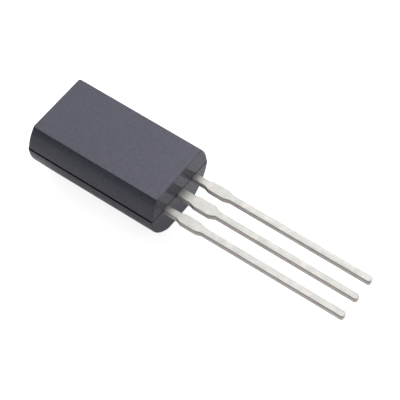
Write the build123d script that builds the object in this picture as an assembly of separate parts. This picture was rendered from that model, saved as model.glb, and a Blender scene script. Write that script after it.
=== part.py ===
from build123d import *

import math
import os

# Voltage regulator in a long three-lead moulded package.
# All sizes are in millimetres. The housing lies on its flat back with the flat front face up (+Z).
# The leads run along +X, and Y goes across them.
# The origin is the centre of the back flat, half way along the housing.

# Housing
body_length = 8.2
body_width = 5.0
body_thickness = 3.9
front_face_width = 3.97
side_wall_bulge = 0.12
back_flat_width = 1.8
parting_depth = 1.41
end_draft_angle = 2.0
corner_radius = 0.1
front_edge_radius = 0.04
back_edge_radius = 0.4
parting_step = 0.02
groove_height = 0.14
groove_depth = 0.14
groove_end_gap = 0.05

# Ejector mark on the back
ejector_mark_diameter = 1.2
ejector_mark_depth = 0.05
ejector_mark_from_far_end = 2.0

# Leads outside the housing
lead_pitch = 1.27
lead_width = 0.38
lead_thickness = 0.37
lead_length = 11.0
outer_neck_width = 0.39
centre_neck_width = 0.55
outer_shoulder_width = 0.6
centre_shoulder_width = 0.71
neck_length = 0.82
shoulder_lead_in = 0.28
shoulder_length = 0.95
shoulder_run_out = 0.33
tip_chamfer = 0.08
lead_edge_radius = 0.05

# Leadframe inside the housing
paddle_length = 2.8
paddle_width = 2.4
paddle_from_lead_end = 3.4
paddle_notch_width = 0.3
paddle_notch_depth = 0.25
post_gap = 0.3
post_length = 0.9
post_width = 0.95
lock_hole_diameter = 0.3

# Chip
die_length = 1.4
die_width = 1.2
die_thickness = 0.28
attach_thickness = 0.04
attach_margin = 0.08
die_shift = 0.1

# Bond wires
wire_diameter = 0.06
ball_diameter = 0.14
ball_height = 0.05
stitch_length = 0.16
stitch_width = 0.11
stitch_height = 0.04
pad_inset = 0.22
loop_height = 0.3
loop_lean = 0.25
foot_rise = 0.15

# Places that follow from the sizes above
lead_end_x = body_length / 2
parting_z = body_thickness - parting_depth
lead_top_z = parting_z
paddle_x_max = lead_end_x - paddle_from_lead_end
paddle_x_mid = paddle_x_max - paddle_length / 2
post_x_min = paddle_x_max + post_gap
die_x = paddle_x_mid + die_shift
die_bottom_z = lead_top_z + attach_thickness
die_top_z = die_bottom_z + die_thickness


def drafted_prism(outline, half_length, outer_z):
    """A YZ outline extruded to both ends, which are drafted from the parting plane to outer_z."""
    setback = abs(outer_z - parting_z) * math.tan(math.radians(end_draft_angle))
    side_view = Polyline(
        (-half_length, parting_z),
        (half_length, parting_z),
        (half_length - setback, outer_z),
        (setback - half_length, outer_z),
        close=True,
    )
    prism = extrude(Plane.YZ * outline, half_length, both=True)
    return prism & extrude(Plane.XZ * make_face(side_view), body_width, both=True)


def front_half():
    """The half in front of the parting plane, with sloping, slightly bulged side walls and softened edges."""
    half_width = body_width / 2 - parting_step
    half_face = front_face_width / 2
    wall_lean = math.atan2(half_width - half_face, parting_depth)
    mid_y = (half_width + half_face) / 2 + side_wall_bulge * math.cos(wall_lean)
    mid_z = parting_z + parting_depth / 2 + side_wall_bulge * math.sin(wall_lean)
    outline = [
        Line((-half_width, parting_z), (half_width, parting_z)),
        ThreePointArc((half_width, parting_z), (mid_y, mid_z), (half_face, body_thickness)),
        Line((half_face, body_thickness), (-half_face, body_thickness)),
        ThreePointArc((-half_face, body_thickness), (-mid_y, mid_z), (-half_width, parting_z)),
    ]
    half = drafted_prism(make_face(outline), body_length / 2 - parting_step, body_thickness)
    corners = half.edges().filter_by(lambda edge: abs(edge.tangent_at(0.5).Z) > 0.5)
    half = fillet(corners, corner_radius)
    rim = half.faces().sort_by(Axis.Z)[-1].outer_wire().edges()
    return fillet(rim, front_edge_radius)


def back_outline():
    """The D of the back half in the YZ plane: two arcs that start upright and blend into the back flat."""
    half_width = body_width / 2
    half_flat = back_flat_width / 2
    arc_y = (half_width**2 - half_flat**2 - parting_z**2) / (2 * (half_width - half_flat))
    arc_radius = half_width - arc_y
    half_angle = math.asin(parting_z / arc_radius) / 2
    mid_y = arc_y + arc_radius * math.cos(half_angle)
    mid_z = parting_z - arc_radius * math.sin(half_angle)
    outline = [
        Line((-half_width, parting_z), (half_width, parting_z)),
        ThreePointArc((half_width, parting_z), (mid_y, mid_z), (half_flat, 0)),
        Line((half_flat, 0), (-half_flat, 0)),
        ThreePointArc((-half_flat, 0), (-mid_y, mid_z), (-half_width, parting_z)),
    ]
    face = make_face(outline)
    return fillet(face.vertices().sort_by(Axis.Y)[:2], back_edge_radius)


def back_half():
    """The half behind the parting plane, with rounded rims and the round ejector mark."""
    half = drafted_prism(back_outline(), body_length / 2, 0)
    for end in (Axis.X, -Axis.X):
        rim = half.faces().sort_by(end)[-1].edges().sort_by(Axis.Z)[:-1]
        half = fillet(rim, corner_radius)
    mark = Cylinder(ejector_mark_diameter / 2, 2 * ejector_mark_depth)
    return half - Pos(ejector_mark_from_far_end - body_length / 2, 0, 0) * mark


def parting_grooves():
    """The fine groove along the parting plane on each long side, which stops just short of the corners."""
    bar = Box(body_length - 2 * groove_end_gap, body_width, groove_height)
    return [Pos(0, side * (body_width - groove_depth), parting_z) * bar for side in (-1, 1)]


def lead_outline(neck_width, shoulder_width, inner_x):
    """Plan of one lead about its own centre line, from inner_x out to the tip."""
    shoulder_x = lead_end_x + neck_length + shoulder_lead_in
    run_out_x = shoulder_x + shoulder_length
    tip_x = lead_end_x + lead_length
    stations = [
        (inner_x, neck_width),
        (lead_end_x + neck_length, neck_width),
        (shoulder_x, shoulder_width),
        (run_out_x, shoulder_width),
        (run_out_x + shoulder_run_out, lead_width),
        (tip_x - tip_chamfer, lead_width),
        (tip_x, lead_width - 2 * tip_chamfer),
    ]
    near_side = [(x, width / 2) for x, width in stations]
    far_side = [(x, -width / 2) for x, width in reversed(stations)]
    return make_face(Polyline(*near_side, *far_side, close=True))


def stamp(plan):
    """Give a plan the sheet's thickness below the parting plane and round its front edges."""
    sheet = Pos(0, 0, lead_top_z) * extrude(plan, -lead_thickness)
    front_edges = sheet.faces().sort_by(Axis.Z)[-1].outer_wire().edges()
    return fillet(front_edges, lead_edge_radius)


def ground_lead():
    """The middle lead with the die paddle, which has two locking notches on each long side."""
    plan = lead_outline(centre_neck_width, centre_shoulder_width, paddle_x_max)
    plan += Pos(paddle_x_mid, 0) * Rectangle(paddle_length, paddle_width)
    for end in (-1, 1):
        notch_x = paddle_x_mid + end * (paddle_length / 2 - paddle_notch_width * 1.5)
        for side in (-1, 1):
            notch = Rectangle(paddle_notch_width, 2 * paddle_notch_depth)
            plan -= Pos(notch_x, side * paddle_width / 2) * notch
    return stamp(plan)


def outer_lead(side):
    """An outer lead: its bond post widens away from the middle and has a round locking hole."""
    plan = lead_outline(outer_neck_width, outer_shoulder_width, post_x_min)
    post_y = (post_width - outer_neck_width) / 2
    plan += Pos(post_x_min + post_length / 2, side * post_y) * Rectangle(post_length, post_width)
    plan = Pos(0, side * lead_pitch) * plan
    hole_x = post_x_min + post_length - lock_hole_diameter
    plan -= Pos(hole_x, side * (lead_pitch + post_y)) * Circle(lock_hole_diameter / 2)
    return stamp(plan)


def die_attach():
    size = (die_length + 2 * attach_margin, die_width + 2 * attach_margin, attach_thickness)
    return Pos(die_x, 0, lead_top_z + attach_thickness / 2) * Box(*size)


def regulator_die():
    return Pos(die_x, 0, die_bottom_z + die_thickness / 2) * Box(die_length, die_width, die_thickness)


def bond_wire(start, end):
    """A wire from the ball on the chip at start to the stitch on the leadframe at end."""
    run = Vector(end[0] - start[0], end[1] - start[1], 0)
    along = run.normalized()
    start_top = Vector(start[0], start[1], die_top_z + ball_height)
    end_top = Vector(end[0], end[1], lead_top_z + stitch_height)
    peak = start_top + Vector(0, 0, loop_height)
    crest = peak + along * (run.length * loop_lean)
    landing = end_top + Vector(0, 0, foot_rise)
    path = Polyline(start_top, peak, crest, landing, end_top)
    section = Plane(origin=start_top, z_dir=(0, 0, 1)) * Circle(wire_diameter / 2)
    wire = sweep(section, path=path, transition=Transition.RIGHT)
    ball = Pos(start[0], start[1], die_top_z + ball_height / 2) * Cylinder(ball_diameter / 2, ball_height)
    turn = math.degrees(math.atan2(along.Y, along.X))
    stitch = Box(stitch_length, stitch_width, stitch_height)
    stitch = Pos(end[0], end[1], lead_top_z + stitch_height / 2) * Rot(0, 0, turn) * stitch
    return wire + ball + stitch


def outer_wire(side):
    """The wire from a chip corner pad to the bond post of the lead on the same side."""
    pad = (die_x + die_length / 2 - pad_inset, side * (die_width / 2 - pad_inset))
    post = (post_x_min + post_length / 3, side * (lead_pitch + (post_width - outer_neck_width) / 2))
    return bond_wire(pad, post)


def ground_wire():
    """The wire from the chip's far pad down to the bare end of the paddle."""
    pad = (die_x - die_length / 2 + pad_inset, 0)
    paddle_end = (paddle_x_mid - paddle_length / 2 + pad_inset, 0)
    return bond_wire(pad, paddle_end)


def moulded_body(inner_pieces):
    """The epoxy housing, moulded round everything inside it."""
    body = front_half() + back_half() - parting_grooves()
    for piece in inner_pieces.values():
        body -= piece
    return body


nodes = {
    "ground_lead": ground_lead(),
    "output_lead": outer_lead(-1),
    "input_lead": outer_lead(1),
    "die_attach": die_attach(),
    "regulator_die": regulator_die(),
    "output_wire": outer_wire(-1),
    "input_wire": outer_wire(1),
    "ground_wire": ground_wire(),
}
nodes["moulded_body"] = moulded_body(nodes)

os.makedirs("parts", exist_ok=True)
for name, solid in nodes.items():
    export_step(solid, f"parts/{name}.step")
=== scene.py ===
"""Looks of a three-lead voltage regulator that lies on its flat back on a pale table."""
import math

import bpy
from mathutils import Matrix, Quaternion, Vector

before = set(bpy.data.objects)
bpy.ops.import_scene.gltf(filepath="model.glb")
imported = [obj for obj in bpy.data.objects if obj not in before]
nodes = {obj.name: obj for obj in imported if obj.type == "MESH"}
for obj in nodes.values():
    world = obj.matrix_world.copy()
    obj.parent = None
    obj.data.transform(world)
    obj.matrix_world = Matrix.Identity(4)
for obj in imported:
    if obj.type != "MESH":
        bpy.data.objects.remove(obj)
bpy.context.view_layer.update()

MM = 0.001

# Camera: it looks at a point over the leads' inner ends, from the front left and well above.
# Angles are in degrees, lens and sensor in millimetres.
VIEW_AZIMUTH = 33.742
VIEW_ELEVATION = 55.01
VIEW_ROLL = 1.958
VIEW_DISTANCE = 89.85 * MM
VIEW_TARGET = Vector((5.001, 0.511, 1.875)) * MM
LENS = 153.92
SENSOR = 36.0

# Table and surroundings: SEEN is what the camera sees, MIRRORED what shiny surfaces show,
# and LIGHT what the world gives to the object.
FLOOR_SIZE = 0.6
FLOOR_SINK = 0.004 * MM
FLOOR_COLOUR = (0.88, 0.88, 0.88, 1)
FLOOR_COLOUR_PALER = (0.8976, 0.8976, 0.8976, 1)
FLOOR_PATCH = 20 * MM
FLOOR_GLOW_SEEN = 0.86
FLOOR_GLOW_MIRRORED = 0.12
WORLD_SEEN = 1.0
WORLD_MIRRORED = 0.20
WORLD_LIGHT = 0.10

# Lamps: place and size in millimetres, power in watts, all aimed at one point on the object.
# The key soft box shows in the front faces of the housing and the leads, the top card reaches
# the necks close to the housing, and the edge card lights the end that the leads come out of.
LAMP_AIM = (4, 0, 2)
LAMPS = {
    "key_softbox": ((-128, 88, 126), 370, 0.440),
    "top_card": ((-24, 114, 162), 60, 0.0195),
    "edge_card": ((164, 96, 64), 120, 0.074),
}

# Moulding compound
EPOXY_DARK = (0.052, 0.052, 0.072, 1)
EPOXY_LIGHT = (0.096, 0.095, 0.134, 1)
EPOXY_SHEEN_TINT = (0.85, 0.85, 1.0, 1)
EPOXY_SHEEN = 0.9
EPOXY_ROUGHNESS = (0.18, 0.24)
EPOXY_MOTTLE = 0.12 * MM
EPOXY_GLOSS_PATCH = 0.08 * MM
EPOXY_GRAIN = 0.07 * MM
EPOXY_GRAIN_HEIGHT = 0.007 * MM

# The housing's two ends are smoother: the shares of roughness and of grain height that they lose
ENDS_LESS_ROUGH = 0.6
ENDS_LESS_GRAIN = 0.8

# Tin plating
TIN_COOL = (0.535, 0.554, 0.518, 1)
TIN_PLAIN = (0.598, 0.590, 0.564, 1)
TIN_WARM = (0.695, 0.654, 0.624, 1)
# The sheared sides' colours are warm, as the cut metal is, and paler than the plated faces as
# painted light: they brighten sides that the lamps leave dark.
SHEARED_DULL_WITH_PAINTED_LIGHT = (0.78, 0.73, 0.70, 1)
SHEARED_BRIGHT_WITH_PAINTED_LIGHT = (0.88, 0.81, 0.78, 1)
TIN_ROUGHNESS = (0.38, 0.46)
TIN_PATCH = 0.6 * MM
TIN_GLOSS_PATCH = 0.12 * MM
TIN_GRAIN = 0.06 * MM
TIN_GRAIN_HEIGHT = 0.003 * MM
DRAWN_LINE = 0.05 * MM
DRAWN_LINE_HEIGHT = 0.002 * MM
DRAWN_LINE_STRETCH = (0.08, 1.0, 1.0)

# Rounding that shearing leaves along the leads' front edges, measured down from the front faces
LEAD_FRONT_HEIGHT = 2.49 * MM
EDGE_REACH = 0.22 * MM
EDGE_DEPTH = 0.16 * MM

# Fine noise in the pieces inside the housing
INNER_PATCH = 0.1 * MM

# Sockets of a Mix node for colours
MIX_FACTOR = 0
MIX_FROM = 6
MIX_TO = 7
MIX_RESULT = 2


def node_of(tree, kind, **settings):
    """A new shader node with its settings and socket values."""
    made = tree.nodes.new(kind)
    for name, value in settings.items():
        if name in made.inputs:
            made.inputs[name].default_value = value
        else:
            setattr(made, name, value)
    return made


def new_material(name):
    """A node material, its tree, its shader and object-space coordinates."""
    material = bpy.data.materials.new(name)
    material.use_nodes = True
    tree = material.node_tree
    shader = tree.nodes["Principled BSDF"]
    place = node_of(tree, "ShaderNodeTexCoord").outputs["Object"]
    return material, tree, shader, place


def noise(tree, place, size, detail=2.0, roughness=0.5):
    """Noise whose cells are about size metres across."""
    made = node_of(tree, "ShaderNodeTexNoise", Detail=detail, Roughness=roughness, Scale=1 / size)
    tree.links.new(place, made.inputs["Vector"])
    return made.outputs["Fac"]


def ramp(tree, value, stops):
    """A colour ramp over a value, with stops of (position, colour)."""
    made = node_of(tree, "ShaderNodeValToRGB")
    steps = made.color_ramp.elements
    while len(steps) < len(stops):
        steps.new(0.5)
    for step, (position, colour) in zip(steps, stops):
        step.position = position
        step.color = colour
    tree.links.new(value, made.inputs["Fac"])
    return made.outputs["Color"]


def bump(tree, height, distance, strength=None, before=None):
    """A bump of distance metres over heights from 0 to 1, at a strength and over the one before."""
    made = node_of(tree, "ShaderNodeBump", Strength=1.0, Distance=distance)
    sources = {"Height": height, "Strength": strength, "Normal": before}
    for name, source in sources.items():
        if source is not None:
            tree.links.new(source, made.inputs[name])
    return made.outputs["Normal"]


def math_node(tree, operation, *terms):
    """The result of one operation on terms, each a number or the output of another node."""
    made = node_of(tree, "ShaderNodeMath", operation=operation)
    for term, socket in zip(terms, made.inputs):
        if isinstance(term, bpy.types.NodeSocket):
            tree.links.new(term, socket)
        else:
            socket.default_value = term
    return made.outputs[0]


def map_range(tree, value, low, high, to_low, to_high):
    """Maps low..high to to_low..to_high, and keeps what lies outside at the nearer end."""
    made = node_of(tree, "ShaderNodeMapRange")
    limits = {"From Min": low, "From Max": high, "To Min": to_low, "To Max": to_high}
    for name, limit in limits.items():
        made.inputs[name].default_value = limit
    tree.links.new(value, made.inputs["Value"])
    return made.outputs["Result"]


def noise_range(tree, value, low, high):
    """Maps noise, which lies mostly between 0.3 and 0.7, to low..high."""
    return map_range(tree, value, 0.3, 0.7, low, high)


def part_along(tree, vector, axis):
    """The part of a vector along the X, Y or Z axis."""
    parts = node_of(tree, "ShaderNodeSeparateXYZ")
    tree.links.new(vector, parts.inputs["Vector"])
    return parts.outputs[axis]


def facing(tree, place, axis):
    """1 on faces that look along an axis, either way, and 0 on faces beside it."""
    along = part_along(tree, place.node.outputs["Normal"], axis)
    return map_range(tree, math_node(tree, "ABSOLUTE", along), 0.3, 0.7, 0.0, 1.0)


def rounded_edge(tree, place):
    """1 down the sheared sides, falling ever faster to 0 over the last stretch below the front."""
    start = LEAD_FRONT_HEIGHT - EDGE_REACH
    rise = map_range(tree, part_along(tree, place, "Z"), start, LEAD_FRONT_HEIGHT, 0.0, 1.0)
    fall = math_node(tree, "POWER", rise, 2.0)
    return math_node(tree, "SUBTRACT", 1.0, fall)


def epoxy_material():
    """Matte black moulding compound: faint mottling under a fine grain, smoother on the ends."""
    material, tree, shader, place = new_material("epoxy")
    mottle = noise(tree, place, EPOXY_MOTTLE, detail=5.0, roughness=0.7)
    colour = ramp(tree, mottle, [(0.34, EPOXY_DARK), (0.66, EPOXY_LIGHT)])
    tree.links.new(colour, shader.inputs["Base Color"])
    on_ends = facing(tree, place, "X")
    gloss = noise(tree, place, EPOXY_GLOSS_PATCH, detail=3.0)
    kept_roughness = math_node(tree, "MULTIPLY_ADD", on_ends, -ENDS_LESS_ROUGH, 1.0)
    all_round = noise_range(tree, gloss, *EPOXY_ROUGHNESS)
    roughness = math_node(tree, "MULTIPLY", all_round, kept_roughness)
    tree.links.new(roughness, shader.inputs["Roughness"])
    grain = noise(tree, place, EPOXY_GRAIN, detail=3.0, roughness=0.6)
    kept_grain = math_node(tree, "MULTIPLY_ADD", on_ends, -ENDS_LESS_GRAIN, 1.0)
    relief = bump(tree, grain, EPOXY_GRAIN_HEIGHT, strength=kept_grain)
    tree.links.new(relief, shader.inputs["Normal"])
    shader.inputs["Specular IOR Level"].default_value = EPOXY_SHEEN
    shader.inputs["Specular Tint"].default_value = EPOXY_SHEEN_TINT
    return material


def tin_colour(tree, place):
    """Warm and cool patches on the sheet's two faces, and on its sheared sides warm tones painted
    paler as painted light.
    """
    patches = noise(tree, place, TIN_PATCH, detail=4.0, roughness=0.6)
    plated = ramp(tree, patches, [(0.34, TIN_COOL), (0.50, TIN_PLAIN), (0.66, TIN_WARM)])
    # The sheared sides' tones are painted paler than the plating, as painted light that the lamps
    # don't give these sides.
    sheared = ramp(tree, patches, [(0.34, SHEARED_DULL_WITH_PAINTED_LIGHT), (0.66, SHEARED_BRIGHT_WITH_PAINTED_LIGHT)])
    colour = node_of(tree, "ShaderNodeMix", data_type="RGBA")
    tree.links.new(facing(tree, place, "Z"), colour.inputs[MIX_FACTOR])
    tree.links.new(sheared, colour.inputs[MIX_FROM])
    tree.links.new(plated, colour.inputs[MIX_TO])
    return colour.outputs[MIX_RESULT]


def tin_relief(tree, place):
    """Rounded front edges, faint lines along the leads and a fine grain over both."""
    stretch = node_of(tree, "ShaderNodeMapping", Scale=DRAWN_LINE_STRETCH)
    tree.links.new(place, stretch.inputs["Vector"])
    drawn = noise(tree, stretch.outputs["Vector"], DRAWN_LINE, detail=3.0)
    grain = noise(tree, place, TIN_GRAIN, detail=4.0, roughness=0.6)
    relief = bump(tree, rounded_edge(tree, place), EDGE_DEPTH)
    relief = bump(tree, drawn, DRAWN_LINE_HEIGHT, before=relief)
    return bump(tree, grain, TIN_GRAIN_HEIGHT, before=relief)


def tin_material():
    """Matte tin plating on stamped copper alloy."""
    material, tree, shader, place = new_material("tinned_lead")
    tree.links.new(tin_colour(tree, place), shader.inputs["Base Color"])
    gloss = noise(tree, place, TIN_GLOSS_PATCH, detail=4.0)
    tree.links.new(noise_range(tree, gloss, *TIN_ROUGHNESS), shader.inputs["Roughness"])
    tree.links.new(tin_relief(tree, place), shader.inputs["Normal"])
    shader.inputs["Metallic"].default_value = 1.0
    shader.inputs["Specular IOR Level"].default_value = 0.5
    return material


def inner_material(name, dark, light, metallic, roughness):
    """A piece inside the housing: two close tones, and a gloss that varies by 15% either way."""
    material, tree, shader, place = new_material(name)
    tone = noise(tree, place, INNER_PATCH, detail=3.0)
    tree.links.new(ramp(tree, tone, [(0.3, dark), (0.7, light)]), shader.inputs["Base Color"])
    gloss = noise_range(tree, tone, roughness * 0.85, roughness * 1.15)
    tree.links.new(gloss, shader.inputs["Roughness"])
    shader.inputs["Metallic"].default_value = metallic
    return material


def dress_nodes():
    """Give every CAD node its material."""
    epoxy = epoxy_material()
    tin = tin_material()
    attach = inner_material("die_attach", (0.34, 0.34, 0.34, 1), (0.46, 0.46, 0.45, 1), 0.8, 0.55)
    silicon = inner_material("silicon", (0.045, 0.05, 0.065, 1), (0.07, 0.075, 0.09, 1), 0.5, 0.2)
    gold = inner_material("gold_wire", (0.72, 0.46, 0.13, 1), (0.82, 0.56, 0.19, 1), 1.0, 0.25)
    finishes = {
        "moulded_body": epoxy,
        "ground_lead": tin,
        "output_lead": tin,
        "input_lead": tin,
        "die_attach": attach,
        "regulator_die": silicon,
        "output_wire": gold,
        "input_wire": gold,
        "ground_wire": gold,
    }
    for name, material in finishes.items():
        mesh = nodes[name].data
        mesh.materials.clear()
        mesh.materials.append(material)


def strength_by_ray(tree, seen, mirrored, light):
    """A strength of seen for camera and transmission rays, mirrored for glossy ones, else light."""
    path = node_of(tree, "ShaderNodeLightPath")
    total = light
    for kind, strength in (("Camera", seen), ("Transmission", seen), ("Glossy", mirrored)):
        is_kind = path.outputs[f"Is {kind} Ray"]
        total = math_node(tree, "MULTIPLY_ADD", is_kind, strength - light, total)
    return total


def floor_material():
    """Matt white, with a glow that whitens what is seen and gives no light."""
    material, tree, shader, place = new_material("floor")
    tone = noise(tree, place, FLOOR_PATCH)
    colour = ramp(tree, tone, [(0.3, FLOOR_COLOUR), (0.7, FLOOR_COLOUR_PALER)])
    tree.links.new(colour, shader.inputs["Base Color"])
    shader.inputs["Roughness"].default_value = 1.0
    shader.inputs["Specular IOR Level"].default_value = 0.0
    glow = node_of(tree, "ShaderNodeEmission")
    strength = strength_by_ray(tree, FLOOR_GLOW_SEEN, FLOOR_GLOW_MIRRORED, 0.0)
    tree.links.new(strength, glow.inputs["Strength"])
    both = node_of(tree, "ShaderNodeAddShader")
    tree.links.new(shader.outputs["BSDF"], both.inputs[0])
    tree.links.new(glow.outputs["Emission"], both.inputs[1])
    tree.links.new(both.outputs["Shader"], tree.nodes["Material Output"].inputs["Surface"])
    return material


def build_floor():
    """A large table top that takes the object's shadow."""
    bpy.ops.mesh.primitive_plane_add(size=FLOOR_SIZE, location=(0, 0, -FLOOR_SINK))
    floor = bpy.context.object
    floor.name = "floor"
    floor.data.materials.append(floor_material())


def build_world():
    """Dim even light, which looks white where it is seen directly."""
    world = bpy.data.worlds.new("studio")
    bpy.context.scene.world = world
    world.use_nodes = True
    tree = world.node_tree
    background = tree.nodes["Background"]
    strength = strength_by_ray(tree, WORLD_SEEN, WORLD_MIRRORED, WORLD_LIGHT)
    tree.links.new(strength, background.inputs["Strength"])
    background.inputs["Color"].default_value = (1, 1, 1, 1)


def build_lamps():
    """Square soft boxes, each aimed at the object."""
    for name, (place, size, power) in LAMPS.items():
        light = bpy.data.lights.new(name, "AREA")
        light.size = size * MM
        light.energy = power
        lamp = bpy.data.objects.new(name, light)
        lamp.location = Vector(place) * MM
        lamp.rotation_euler = (Vector(LAMP_AIM) - Vector(place)).to_track_quat("-Z", "Y").to_euler()
        bpy.context.scene.collection.objects.link(lamp)


def build_camera():
    """The photograph's view: a camera on a circle round the target, rolled a little."""
    azimuth = math.radians(VIEW_AZIMUTH)
    elevation = math.radians(VIEW_ELEVATION)
    back = Vector(
        (
            math.sin(azimuth) * math.cos(elevation),
            -math.cos(azimuth) * math.cos(elevation),
            math.sin(elevation),
        )
    )
    camera = bpy.data.objects.new("camera", bpy.data.cameras.new("camera"))
    camera.data.lens = LENS
    camera.data.sensor_width = SENSOR
    camera.data.clip_start = VIEW_DISTANCE / 100
    camera.data.clip_end = FLOOR_SIZE * 2
    camera.location = VIEW_TARGET + back * VIEW_DISTANCE
    camera.rotation_mode = "QUATERNION"
    roll = Quaternion((0, 0, 1), math.radians(VIEW_ROLL))
    camera.rotation_quaternion = (-back).to_track_quat("-Z", "Y") @ roll
    bpy.context.scene.collection.objects.link(camera)
    bpy.context.scene.camera = camera


dress_nodes()
build_floor()
build_world()
build_lamps()
build_camera()
bpy.context.scene.view_settings.view_transform = "Standard"
